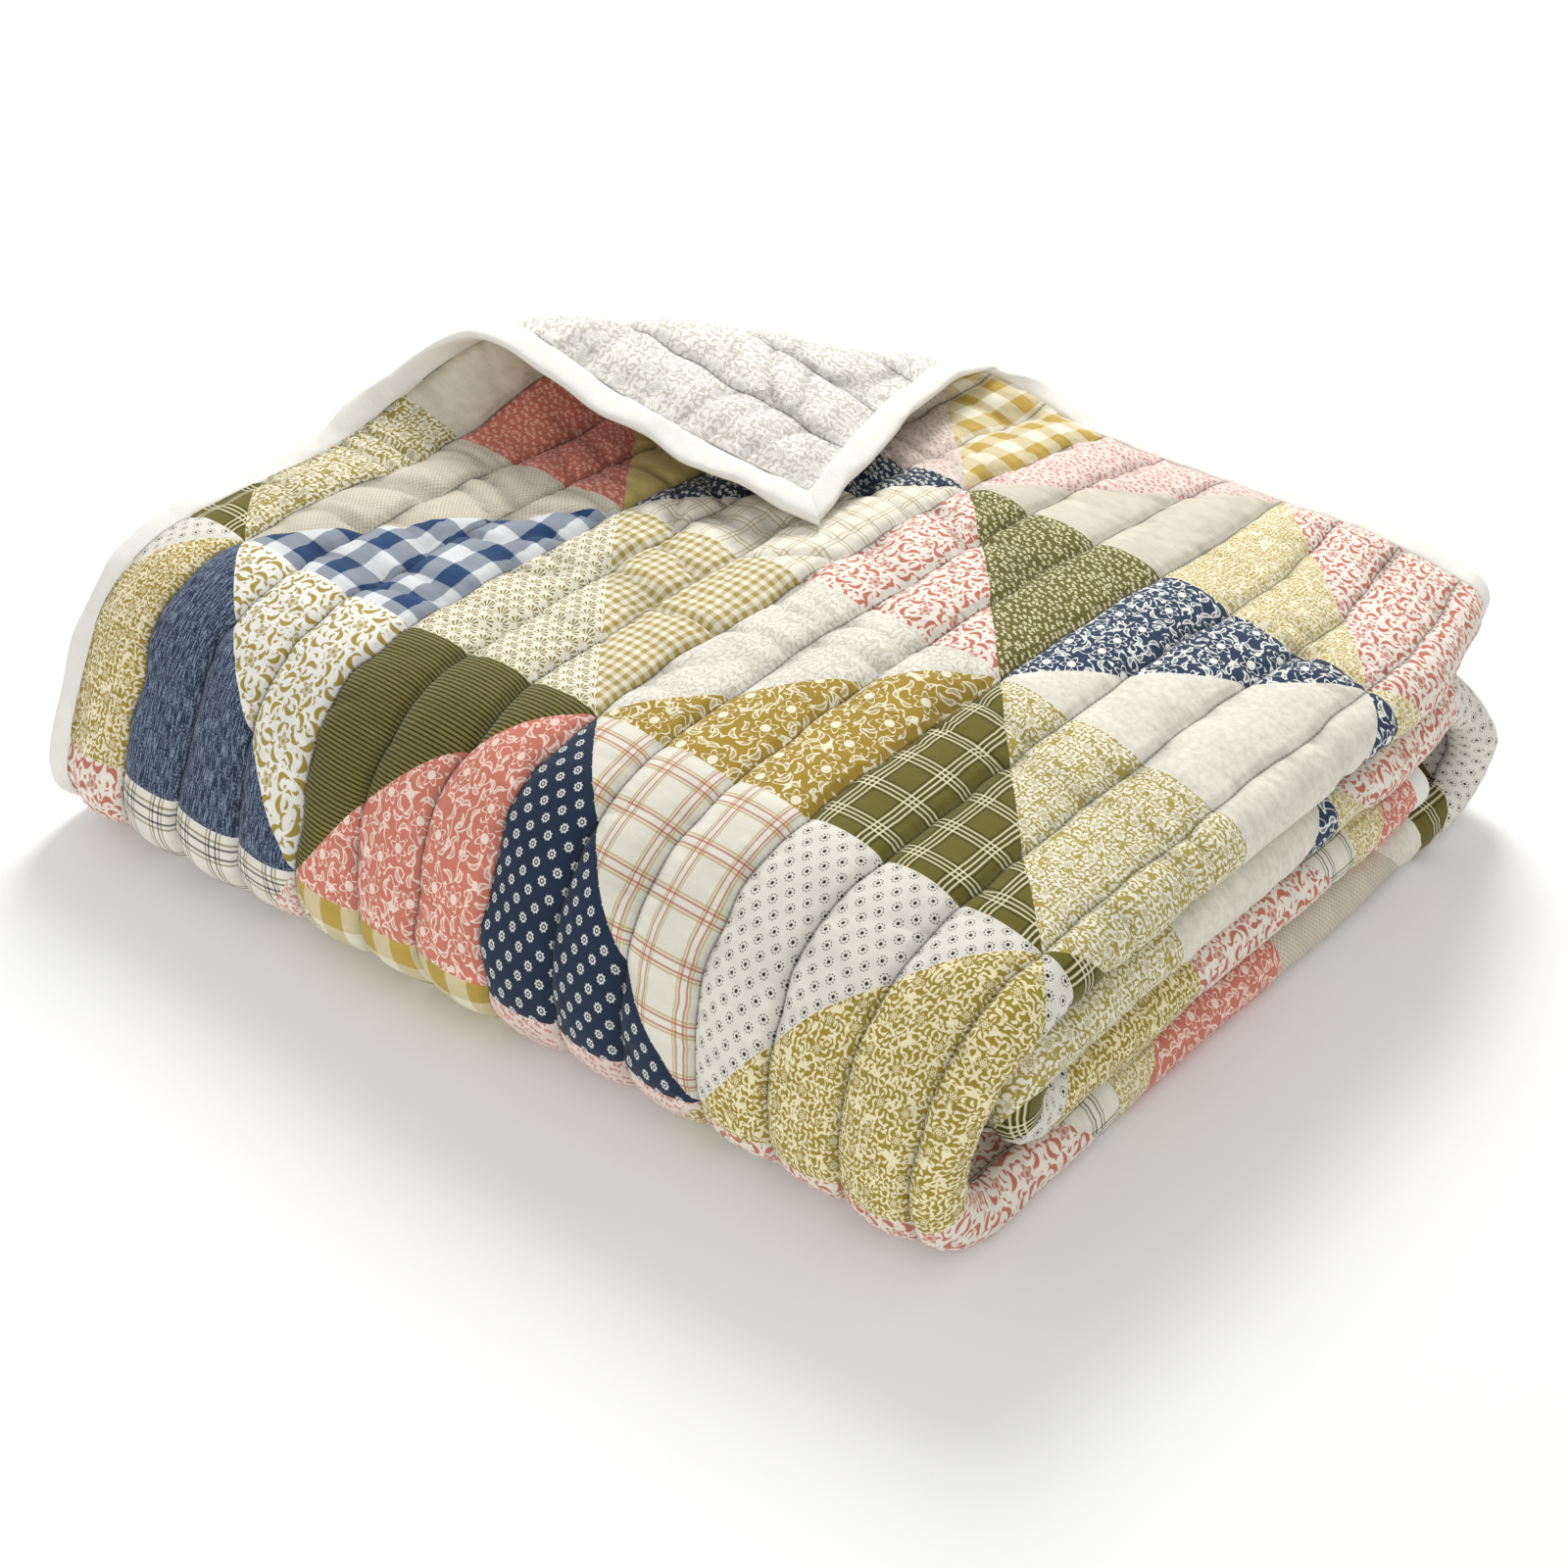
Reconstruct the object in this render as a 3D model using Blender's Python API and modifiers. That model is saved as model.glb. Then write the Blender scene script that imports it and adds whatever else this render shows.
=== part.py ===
"""Patchwork quilt folded into a soft stack, with one corner turned back.

The quilt is made flat, with its padding and its channels, and then folded in three moves:
across its width into three layers, along its length into a roll of four runs, and the free
corner of the top run over onto itself. The cloth is one solid and its binding is another.
Metres, +Z up, the folded front towards -Y.
"""
import math
import bpy
import bmesh
import numpy as np
from mathutils import Matrix

# Patchwork and cloth
PATCH = 0.160          # side of one patch square
CHANNEL = 1 / 3        # distance between two quilting lines, in patches
PADDING = 0.0125       # cloth thickness at the crown of a channel
STITCHED = 0.62        # share of that thickness left at a quilting line
BINDING_WIDTH = 0.0175
BINDING_THICKNESS = 0.0085
SEAM_GAP = 0.0016      # between the cloth and its binding

# Folding
LAYER = 0.0151         # from the middle of one layer to the middle of the next
RUN = 3 * LAYER        # height of one folded run, three layers
SPINE_I = 4.02         # patches from the first seam to the right-hand fold
FRONT_Y = 0.0          # where the top run starts to turn down
BACK_Y = 2.58          # where the bottom run starts to turn up, in patches
UPPER_FRONT = 2.0 * RUN
LOWER_FRONT = 1.0 * RUN
INNER_TURN = 0.5 * RUN

FIRST_I = -CHANNEL
FIRST_J = 3.0
EDGE = (SEAM_GAP + BINDING_WIDTH) / PATCH
SPINE_X = SPINE_I * PATCH
LEFT_X = (FIRST_I - EDGE + 0.08) * PATCH
TURN_RIGHT = math.pi * LAYER / PATCH
TURN_LEFT = math.pi * LAYER / 2 / PATCH
WIDTH_RUN = (SPINE_X - LEFT_X) / PATCH
LAYER_TWO = SPINE_I + TURN_RIGHT
LEFT_FOLD = LAYER_TWO + WIDTH_RUN
LAYER_THREE = LEFT_FOLD + TURN_LEFT
LAST_I = LAYER_THREE + WIDTH_RUN - 0.06 - EDGE

# The lengthwise path of the folded strip: each row is a length and the turn made over it
TOP_RUN = (FIRST_J + EDGE) * PATCH - FRONT_Y
BOTTOM_RUN = BACK_Y * PATCH - FRONT_Y + UPPER_FRONT - LOWER_FRONT
SECOND_RUN = BACK_Y * PATCH - FRONT_Y + 0.03 * PATCH
INNER_RUN = 2.46 * PATCH
HALF = math.pi / 2
PATH = (
    (TOP_RUN, 0.0),
    (UPPER_FRONT * HALF, HALF),
    (LOWER_FRONT * HALF, HALF),
    (BOTTOM_RUN, 0.0),
    (RUN * math.pi, math.pi),
    (SECOND_RUN, 0.0),
    (INNER_TURN * math.pi, math.pi),
    (INNER_RUN, 0.0),
)
LAST_J = FIRST_J + EDGE - sum(length for length, _ in PATH) / PATCH

# The turned corner: where its fold starts on the left edge, the fold's direction, and its profile
CORNER_J = 0.314
CORNER_ANGLE = math.radians(48.1)
RISE_ARC = 0.60 * PATCH
RISE_TURN = math.radians(94.9)
CREST_RADIUS = 0.173 * PATCH
FALL_SLOPE = math.radians(24)
SETTLE_ARC = 0.30 * PATCH
CORNER_REST = 1.12 * LAYER
CORNER_SWING = math.radians(6.47)
SWING_WIDTH = 1.605 * PATCH
CORNER_PIVOT = 4.89 * PATCH
CORNER_TAPER = 0.319   # how much lower the ridge gets for each patch along it

# How the soft stack sags and bulges, as shares of a patch or of the height
SAG_LEFT = 0.05
LEFT_RISE = 0.075      # how much fuller the upper front is at its left end
SAG_FAR = 0.12
SAG_FAR_LEFT = 0.16
SAG_RIGHT = 0.05
CROWN_RISE = 0.13
FRONT_FAN = 0.095
FRONT_BELLY = 0.035
FRONT_LOW = 0.02
FRONT_LOW_LEFT = 0.21
FRONT_SLIP = 0.11      # how far the lower front lies to the right
FAR_CORNER_PULL = 0.26
PRESSED = 0.0044       # how far the underside is pressed flat


def smooth(t):
    """Eases from 0 to 1."""
    t = np.clip(t, 0, 1)
    return t * t * (3 - 2 * t)


def follow(distance, start, heading, pieces):
    """Follows straight runs and arcs for a distance, and gives the place and the heading there."""
    a = start[0] + 0.0 * distance
    b = start[1] + 0.0 * distance
    h = heading + 0.0 * distance
    left = distance + 0.0
    for k, (length, turn) in enumerate(pieces):
        step = left if k == len(pieces) - 1 else np.minimum(left, length)
        if k:
            step = np.maximum(step, 0)
        if turn == 0:
            a = a + step * np.cos(h)
            b = b + step * np.sin(h)
        else:
            bend = turn / length
            a = a + (np.sin(h + bend * step) - np.sin(h)) / bend
            b = b + (np.cos(h) - np.cos(h + bend * step)) / bend
            h = h + bend * step
        left = left - length
    return a, b, h


def fold_across(i, w):
    """Folds the width in three: returns x and the distance out from the strip's middle."""
    x = i * PATCH
    n = LAYER + w
    t = (i - SPINE_I) * PATCH / LAYER
    x = np.where(i > SPINE_I, SPINE_X + (LAYER + w) * np.sin(t), x)
    n = np.where(i > SPINE_I, (LAYER + w) * np.cos(t), n)
    x = np.where(i > LAYER_TWO, SPINE_X - (i - LAYER_TWO) * PATCH, x)
    n = np.where(i > LAYER_TWO, -LAYER - w, n)
    t = (i - LEFT_FOLD) * PATCH / (LAYER / 2)
    x = np.where(i > LEFT_FOLD, LEFT_X - (LAYER / 2 + w) * np.sin(t), x)
    n = np.where(i > LEFT_FOLD, -LAYER / 2 - (LAYER / 2 + w) * np.cos(t), n)
    x = np.where(i > LAYER_THREE, LEFT_X + (i - LAYER_THREE) * PATCH, x)
    n = np.where(i > LAYER_THREE, w, n)
    return x, n


def fold_along(j, n):
    """Rolls the strip's length into its four runs: returns y and z."""
    distance = (FIRST_J + EDGE - j) * PATCH
    start = ((FIRST_J + EDGE) * PATCH, 3.5 * RUN)
    y, z, h = follow(distance, start, math.pi, PATH)
    return y + n * np.sin(h), z - n * np.cos(h)


def turn_corner(i, j, w):
    """Turns the far left corner of the top layer back: returns the points and which ones move."""
    along = np.array([math.cos(CORNER_ANGLE), math.sin(CORNER_ANGLE)])
    out = np.array([-along[1], along[0]])
    px = (i - FIRST_I + EDGE) * PATCH
    py = (j - CORNER_J) * PATCH
    t = px * along[0] + py * along[1]
    s = px * out[0] + py * out[1]
    over = math.pi + FALL_SLOPE - RISE_TURN
    climb = ((RISE_ARC, RISE_TURN), (CREST_RADIUS * over, over))
    length = RISE_ARC + CREST_RADIUS * over
    _, height, _ = follow(np.array(length), (0.0, 0.0), 0.0, climb)
    settle = SETTLE_ARC * (1 - math.cos(FALL_SLOPE)) / FALL_SLOPE
    fall = (float(height) - CORNER_REST - settle) / math.sin(FALL_SLOPE)
    profile = climb + ((fall, 0.0), (SETTLE_ARC, -FALL_SLOPE), (9.0, 0.0))
    a, z, h = follow(np.maximum(s, 0), (0.0, 0.0), 0.0, profile)
    z = z * (1 - CORNER_TAPER * (t / PATCH - 1) * smooth(s / PATCH))
    crest = RISE_ARC + CREST_RADIUS * (math.pi / 2 - RISE_TURN)
    crest_a, _, _ = follow(np.array(crest), (0.0, 0.0), 0.0, profile)
    swing = CORNER_SWING * smooth((s - crest + 0.25 * PATCH) / SWING_WIDTH)
    t = t - CORNER_PIVOT
    a = a - crest_a - w * np.sin(h)
    t, a = t * np.cos(swing) - a * np.sin(swing), t * np.sin(swing) + a * np.cos(swing)
    t = t + CORNER_PIVOT
    a = a + crest_a
    x = (FIRST_I - EDGE) * PATCH + t * along[0] + a * out[0]
    y = CORNER_J * PATCH + t * along[1] + a * out[1]
    z = 3.5 * RUN + LAYER + z + w * np.cos(h)
    return x, y, z, (s > 0) & (i < 3.2) & (j > 0)


def sag(x, y, z):
    """Lets the stack settle: lower at its ends, full in the middle, the front bulging out."""
    u = x / PATCH
    v = y / PATCH
    ends = 1 - SAG_LEFT * np.clip((1.8 - u) / 2.2, 0, 1) ** 1.5
    far = SAG_FAR * (1 - 0.45 * smooth((u - 2.2) / 1.4))
    ends = ends - far * np.clip((v - 1.7) / 1.4, 0, 1) ** 2
    ends = ends - SAG_FAR_LEFT * smooth((v - 1.9) / 1.2) * smooth((1.7 - u) / 1.2)
    ends = ends - SAG_RIGHT * np.clip((u - 3.0) / 1.1, 0, 1) ** 2
    rise = LEFT_RISE * np.clip((2.6 - u) / 2.6, 0, 1) * smooth((1.6 - v) / 1.3)
    rise = rise * smooth(z / 0.12) * smooth((0.265 - z) / 0.07)
    crown = CROWN_RISE * np.exp(-((u - 2.6) ** 2 + (v - 0.9) ** 2) / 1.8)
    front = np.clip((1.4 - v) / 1.4, 0, 1)
    belly = FRONT_FAN * np.clip(4.0 - u, 0, 5) + FRONT_BELLY * np.sin(np.pi * np.clip(u / 4, 0, 1))
    low = FRONT_LOW + FRONT_LOW_LEFT * (np.clip(4 - u, 0, 4) / 4) ** 2
    low = low * smooth((0.13 - z) / 0.10) * np.clip((0.6 - v) / 1.2, 0, 1)
    fan = -0.016 * (2.0 - u) * (v - 1.0)
    pull = FAR_CORNER_PULL * smooth((v - 2.1) / 1.3) * smooth((u - 2.2) / 2.0) * smooth((z - 0.06) / 0.06)
    slip = FRONT_SLIP * smooth((0.16 - z) / 0.12) * smooth((0.6 - v) / 1.1) * np.clip(4.3 - u, 0, 1)
    x = x + PATCH * (slip - pull)
    y = y + PATCH * (fan - front * belly - low)
    z = np.maximum(z * (ends + rise + crown) - PRESSED, 0)
    return x, y, z


def fold(points):
    """Moves points of the flat quilt (x, y and height over its middle) to the folded stack."""
    i = points[:, 0] / PATCH
    j = points[:, 1] / PATCH
    w = points[:, 2]
    x, n = fold_across(i, w)
    y, z = fold_along(j, n)
    cx, cy, cz, turned = turn_corner(i, j, w)
    x = np.where(turned, cx, x)
    y = np.where(turned, cy, y)
    z = np.where(turned, cz, z)
    return np.stack(sag(x, y, z), axis=-1)


# Grid lines of the flat quilt: each row of the tables is an end value and its number of steps
COLUMNS = (
    (4 / 3, 15),
    (4.0, 16),
    (LAYER_TWO, 5),
    (LEFT_FOLD, 6),
    (LAYER_THREE, 4),
    (LAST_I, 6),
)
ROWS = (
    (2.1, 5),
    (1.2, 8),
    (0.3, 5),
    (0.0, 1),
    (-UPPER_FRONT * HALF / PATCH, 4),
    (-(UPPER_FRONT + LOWER_FRONT) * HALF / PATCH, 3),
    (-(UPPER_FRONT + LOWER_FRONT) * HALF / PATCH - BOTTOM_RUN / PATCH, 4),
    (-(UPPER_FRONT + LOWER_FRONT + 2 * RUN) * HALF / PATCH - BOTTOM_RUN / PATCH, 6),
    (LAST_J + (INNER_RUN + INNER_TURN * math.pi) / PATCH, 5),
    (LAST_J + INNER_RUN / PATCH, 4),
    (LAST_J + EDGE, 4),
)


def stations(start, table):
    """Turns a table of end values and step counts into one list of values."""
    values = [start]
    for end, steps in table:
        values += list(np.linspace(values[-1], end, steps + 1)[1:])
    return np.array(values)


def new_material(name, colour, roughness):
    """A plain woven cloth finish."""
    material = bpy.data.materials.new(name)
    material.use_nodes = True
    shader = material.node_tree.nodes["Principled BSDF"]
    shader.inputs["Base Color"].default_value = (*colour, 1)
    shader.inputs["Roughness"].default_value = roughness
    return material


def flat_cloth(name, columns, rows, share, ring=False):
    """A flat padded cloth on the given grid lines; a ring keeps only the outermost cells."""
    bm = bmesh.new()
    bmesh.ops.create_grid(bm, x_segments=len(columns) - 1, y_segments=len(rows) - 1, size=1)
    bm.verts.ensure_lookup_table()
    order = sorted(bm.verts, key=lambda v: (round(v.co.y, 6), round(v.co.x, 6)))
    for k, v in enumerate(order):
        v.co.x = columns[k % len(columns)] * PATCH
        v.co.y = rows[k // len(columns)] * PATCH
    if ring:
        inner = [f for f in bm.faces if is_inner(f, columns, rows)]
        bmesh.ops.delete(bm, geom=inner, context="FACES")
    mesh = bpy.data.meshes.new(name)
    bm.to_mesh(mesh)
    bm.free()
    obj = bpy.data.objects.new(name, mesh)
    bpy.context.scene.collection.objects.link(obj)
    group = obj.vertex_groups.new(name="padding")
    for v in mesh.vertices:
        group.add([v.index], share(v.co.x / PATCH, v.co.y / PATCH), "REPLACE")
    solidify = obj.modifiers.new("Padding", "SOLIDIFY")
    solidify.thickness = PADDING
    solidify.offset = 0
    solidify.vertex_group = "padding"
    with bpy.context.temp_override(object=obj, active_object=obj, selected_objects=[obj]):
        bpy.ops.object.modifier_apply(modifier=solidify.name)
    return obj


def is_inner(face, columns, rows):
    """Whether a cell lies inside the ring of the outermost cells."""
    centre = face.calc_center_median() / PATCH
    across = columns[1] < centre.x < columns[-2]
    return across and rows[1] < centre.y < rows[-2]


def cloth_share(i, j):
    """Full padding at a channel's crown, less along a quilting line."""
    phase = (i / CHANNEL) % 1
    near_line = min(phase, 1 - phase) < 0.05
    if i > SPINE_I:
        return 0.9
    return STITCHED if near_line else 1.0


def binding_share(i, j):
    """The binding's section: thicker at the seam than at its rim."""
    at_rim = i < FIRST_I - EDGE * 0.9 or i > LAST_I + EDGE * 0.9
    at_rim = at_rim or j > FIRST_J + EDGE * 0.9 or j < LAST_J + EDGE * 0.1
    full = BINDING_THICKNESS / PADDING
    return full * 0.7 if at_rim else full


def fold_object(obj, shift):
    """Folds a flat cloth object and moves it into the shared frame."""
    mesh = obj.data
    flat = np.empty(len(mesh.vertices) * 3, dtype=np.float32)
    mesh.vertices.foreach_get("co", flat)
    folded = fold(flat.reshape(-1, 3).astype(float)) + shift
    mesh.vertices.foreach_set("co", folded.astype(np.float32).ravel())
    mesh.update()
    return folded


def main():
    for obj in list(bpy.data.objects):
        bpy.data.objects.remove(obj)
    columns = stations(FIRST_I, COLUMNS)
    rows = stations(FIRST_J, ROWS)[::-1]
    cloth = flat_cloth("quilt", columns, rows, cloth_share)
    gap = SEAM_GAP / PATCH
    rim_columns = np.r_[FIRST_I - EDGE, FIRST_I - gap, columns[1:-1], LAST_I + gap, LAST_I + EDGE]
    rim_rows = np.r_[LAST_J, LAST_J + EDGE - gap, rows[1:-1], FIRST_J + gap, FIRST_J + EDGE]
    binding = flat_cloth("binding", rim_columns, rim_rows, binding_share, ring=True)

    points = np.vstack([fold_object(cloth, 0.0), fold_object(binding, 0.0)])
    low = points.min(axis=0)
    high = points.max(axis=0)
    shift = np.array([-(low[0] + high[0]) / 2, -(low[1] + high[1]) / 2, -low[2]])
    finishes = {
        "quilt": ("patchwork_cotton", (0.66, 0.60, 0.48), 0.9),
        "binding": ("binding_cotton", (0.88, 0.87, 0.82), 0.9),
    }
    for obj in (cloth, binding):
        obj.data.transform(move_by(shift))
        obj.data.materials.clear()
        obj.data.materials.append(new_material(*finishes[obj.name]))
        obj.data.polygons.foreach_set("use_smooth", [True] * len(obj.data.polygons))
        obj.data.update()


def move_by(shift):
    """A move by the given vector."""
    return Matrix.Translation(shift)


main()
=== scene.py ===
# %% [markdown]
# # A folded patchwork quilt
# The object is a pieced cotton quilt, about 2.2 m square, folded into a soft stack with one
# corner turned back. The solids of its construction model are loaded first. They give the box
# and the places, and every cloth made here lies where they are.

# %% Load the frame
import math
import bpy
import bmesh
import numpy as np
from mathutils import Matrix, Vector


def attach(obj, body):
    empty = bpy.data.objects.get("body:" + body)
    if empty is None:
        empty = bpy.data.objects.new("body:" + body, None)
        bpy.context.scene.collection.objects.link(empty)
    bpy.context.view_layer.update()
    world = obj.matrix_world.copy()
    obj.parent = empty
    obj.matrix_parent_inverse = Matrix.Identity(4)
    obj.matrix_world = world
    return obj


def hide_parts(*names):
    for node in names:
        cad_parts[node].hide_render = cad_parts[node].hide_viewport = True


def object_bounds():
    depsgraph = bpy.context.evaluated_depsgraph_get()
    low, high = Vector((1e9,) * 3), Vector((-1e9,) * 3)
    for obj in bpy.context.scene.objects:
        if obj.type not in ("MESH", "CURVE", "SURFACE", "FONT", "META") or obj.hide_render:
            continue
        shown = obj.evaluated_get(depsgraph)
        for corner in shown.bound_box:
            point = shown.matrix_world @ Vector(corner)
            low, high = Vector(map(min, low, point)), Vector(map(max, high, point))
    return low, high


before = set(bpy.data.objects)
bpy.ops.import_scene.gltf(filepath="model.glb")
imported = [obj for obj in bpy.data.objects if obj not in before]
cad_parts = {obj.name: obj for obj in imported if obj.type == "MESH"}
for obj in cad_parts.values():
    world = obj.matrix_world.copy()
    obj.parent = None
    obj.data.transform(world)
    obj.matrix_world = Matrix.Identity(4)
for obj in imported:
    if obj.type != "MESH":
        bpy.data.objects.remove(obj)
CAD_BOX = [list(corner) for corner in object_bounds()]

# %% [markdown]
# ## Camera
# A product picture is taken with a longish lens from above one corner. A camera could be
# placed by hand in the viewport; here it stands on a line from the point it looks at, at a
# measured angle and distance, so that the view can be corrected one number at a time.

# %% Camera at the photograph's angle
LOOK_AT = Vector((0.1476, -0.1596, 0.1812))
AZIMUTH = math.radians(42.668)
ELEVATION = math.radians(38.409)
ROLL = math.radians(-0.269)
DISTANCE = 1.584
LENS = 61.62
SENSOR_WIDTH = 36

camera = bpy.data.objects.new("view", bpy.data.cameras.new("view"))
bpy.context.scene.collection.objects.link(camera)
away = Vector((math.sin(AZIMUTH) * math.cos(ELEVATION), -math.cos(AZIMUTH) * math.cos(ELEVATION),
               math.sin(ELEVATION)))
camera.location = LOOK_AT + away * DISTANCE
camera.rotation_euler = (math.pi / 2 - ELEVATION, 0, AZIMUTH)
camera.rotation_euler.rotate_axis("Z", ROLL)
camera.data.lens = LENS
camera.data.sensor_width = SENSOR_WIDTH
bpy.context.scene.camera = camera
print("camera stands at", tuple(round(c, 3) for c in camera.location))

# %% [markdown]
# ## Floor and light
# A pale studio sweep and large soft lamps show cloth best: a big lamp from the back left
# rakes across the quilting, so that each channel has a bright and a shaded side, and a wide
# weak one fills the shadows. The floor is a plain plane, no part of the quilt.

# %% Floor, lamps and sky
def matte(name, colour):
    """A plain stage finish."""
    material = bpy.data.materials.new(name)
    material.use_nodes = True
    shader = material.node_tree.nodes["Principled BSDF"]
    shader.inputs["Base Color"].default_value = (*colour, 1)
    shader.inputs["Roughness"].default_value = 0.9
    return material


def lamp(name, place, size, power):
    """A square area lamp that faces the quilt."""
    light = bpy.data.lights.new(name, "AREA")
    light.size = size
    light.energy = power
    obj = bpy.data.objects.new(name, light)
    bpy.context.scene.collection.objects.link(obj)
    obj.location = place
    obj.rotation_euler = (Vector((0, 0, 0.1)) - obj.location).to_track_quat("-Z", "Y").to_euler()


bpy.ops.object.select_all(action="DESELECT")
bpy.ops.mesh.primitive_plane_add(size=14, location=(0, 0, CAD_BOX[0][2]))
floor = bpy.context.object
floor.name = "floor"
floor.data.materials.append(matte("studio_floor", (0.93, 0.93, 0.92)))
lamp("key", (-1.1, 1.5, 1.9), 0.9, 52)
lamp("fill", (0.9, -2.2, 1.3), 2.0, 14)
sky = bpy.data.worlds.new("studio")
sky.use_nodes = True
sky.node_tree.nodes["Background"].inputs["Color"].default_value = (1.0, 1.0, 1.0, 1)
sky.node_tree.nodes["Background"].inputs["Strength"].default_value = 0.66
bpy.context.scene.world = sky
bpy.context.scene.view_settings.view_transform = "Standard"

# %% [markdown]
# ## How the quilt is folded
# Real cloth could be folded by a simulation, but a thick quilt pressed in a shop has a shape
# that is easier to say than to simulate. Each point of the flat quilt has a place across
# (i, in patches), a place along (j, in patches) and a height over its middle (w). The fold
# is a function from those three to the folded place, so any cloth made flat can be folded:
# in three across its width, in a roll of four runs along its length, and the free corner of
# the top run over onto itself. The sizes are those of the solid.

# %% Sizes of the folded quilt
PATCH = 0.160           # side of one patch square
CHANNEL = 1 / 3         # between two quilting lines, in patches
BINDING_WIDTH = 0.0175
SEAM_GAP = 0.0016       # between the cloth and its binding
LAYER = 0.0151          # from the middle of one layer to the middle of the next
RUN = 3 * LAYER         # height of one folded run
TOP_MIDDLE = 3.5 * RUN  # height of the top run's middle
SPINE_I = 4.02          # patches from the first seam to the right-hand fold
BACK_J = 2.58           # where the bottom run starts to turn up, in patches
LEFT_SETBACK = 0.08     # how far the left fold lies inside the top layer's edge, in patches
INNER_SETBACK = 0.06    # how much shorter the innermost layer is, in patches
SECOND_LONGER = 0.03    # how much further back the second run goes, in patches
UPPER_FRONT = 2 * RUN   # radii of the turns
LOWER_FRONT = RUN
INNER_TURN = 0.5 * RUN
FIRST_I, FIRST_J = -CHANNEL, 3.0
EDGE = (SEAM_GAP + BINDING_WIDTH) / PATCH
SPINE_X = SPINE_I * PATCH
LEFT_X = (FIRST_I - EDGE + LEFT_SETBACK) * PATCH
WIDTH_RUN = (SPINE_X - LEFT_X) / PATCH
LAYER_TWO = SPINE_I + math.pi * LAYER / PATCH
LEFT_FOLD = LAYER_TWO + WIDTH_RUN
LAYER_THREE = LEFT_FOLD + math.pi * LAYER / 2 / PATCH
LAST_I = LAYER_THREE + WIDTH_RUN - INNER_SETBACK - EDGE
HALF = math.pi / 2
TOP_RUN = (FIRST_J + EDGE) * PATCH
INNER_RUN = 2.46 * PATCH
PATH = (
    (TOP_RUN, 0.0),
    (UPPER_FRONT * HALF, HALF),
    (LOWER_FRONT * HALF, HALF),
    (BACK_J * PATCH + UPPER_FRONT - LOWER_FRONT, 0.0),
    (RUN * math.pi, math.pi),
    ((BACK_J + SECOND_LONGER) * PATCH, 0.0),
    (INNER_TURN * math.pi, math.pi),
    (INNER_RUN, 0.0),
)
LAST_J = FIRST_J + EDGE - sum(length for length, _ in PATH) / PATCH
INTO_FRAME = np.array([-0.29658, -0.15812, 0.0])
OPEN_WIDTH, OPEN_LENGTH = (LAST_I - FIRST_I + 2 * EDGE) * PATCH, (FIRST_J - LAST_J + EDGE) * PATCH
print(f"open quilt {OPEN_WIDTH:.2f} x {OPEN_LENGTH:.2f} m")

# %% Follow a bent strip
def smooth(t):
    """Eases from 0 to 1."""
    t = np.clip(t, 0, 1)
    return t * t * (3 - 2 * t)


def follow(distance, start, heading, pieces):
    """Follows straight runs and arcs for a distance, and gives the place and the heading there."""
    a = start[0] + 0.0 * distance
    b = start[1] + 0.0 * distance
    h = heading + 0.0 * distance
    left = distance + 0.0
    for k, (length, turn) in enumerate(pieces):
        step = left if k == len(pieces) - 1 else np.minimum(left, length)
        if k:
            step = np.maximum(step, 0)
        if turn == 0:
            a, b = a + step * np.cos(h), b + step * np.sin(h)
        else:
            bend = turn / length
            a = a + (np.sin(h + bend * step) - np.sin(h)) / bend
            b = b + (np.cos(h) - np.cos(h + bend * step)) / bend
            h = h + bend * step
        left = left - length
    return a, b, h


# %% Fold across and along
def fold_across(i, w):
    """Folds the width in three: returns x and the distance out from the strip's middle."""
    t = (i - SPINE_I) * PATCH / LAYER
    x = np.where(i > SPINE_I, SPINE_X + (LAYER + w) * np.sin(t), i * PATCH)
    n = np.where(i > SPINE_I, (LAYER + w) * np.cos(t), LAYER + w)
    x = np.where(i > LAYER_TWO, SPINE_X - (i - LAYER_TWO) * PATCH, x)
    n = np.where(i > LAYER_TWO, -LAYER - w, n)
    t = (i - LEFT_FOLD) * PATCH / (LAYER / 2)
    x = np.where(i > LEFT_FOLD, LEFT_X - (LAYER / 2 + w) * np.sin(t), x)
    n = np.where(i > LEFT_FOLD, -LAYER / 2 - (LAYER / 2 + w) * np.cos(t), n)
    x = np.where(i > LAYER_THREE, LEFT_X + (i - LAYER_THREE) * PATCH, x)
    n = np.where(i > LAYER_THREE, w, n)
    return x, n


def fold_along(j, n):
    """Rolls the strip's length into its four runs: returns y and z."""
    distance = (FIRST_J + EDGE - j) * PATCH
    y, z, h = follow(distance, (TOP_RUN, TOP_MIDDLE), math.pi, PATH)
    return y + n * np.sin(h), z - n * np.cos(h)


# %% [markdown]
# The turned corner is a roll with its own profile: it rises, goes over a tight crest, falls
# and comes to rest on the top layer. The whole flap swings a little in its plane, as paper
# does when it is folded askew.

# %% Turn the corner back
CORNER_J = 0.314
CORNER_ANGLE = math.radians(48.1)
RISE_ARC = 0.60 * PATCH
RISE_TURN = math.radians(94.9)
CREST_RADIUS = 0.173 * PATCH
FALL_SLOPE = math.radians(24)
SETTLE_ARC = 0.30 * PATCH
CORNER_REST = 1.12 * LAYER
CORNER_SWING = math.radians(6.47)
SWING_WIDTH = 1.605 * PATCH
CORNER_PIVOT = 4.89 * PATCH
CORNER_TAPER = 0.319    # how much lower the ridge gets for each patch along it
SWING_START = 0.25 * PATCH
CORNER_COLUMNS = 3.2    # the corner's cloth ends before this place across
ENDLESS = 9.0


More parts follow.
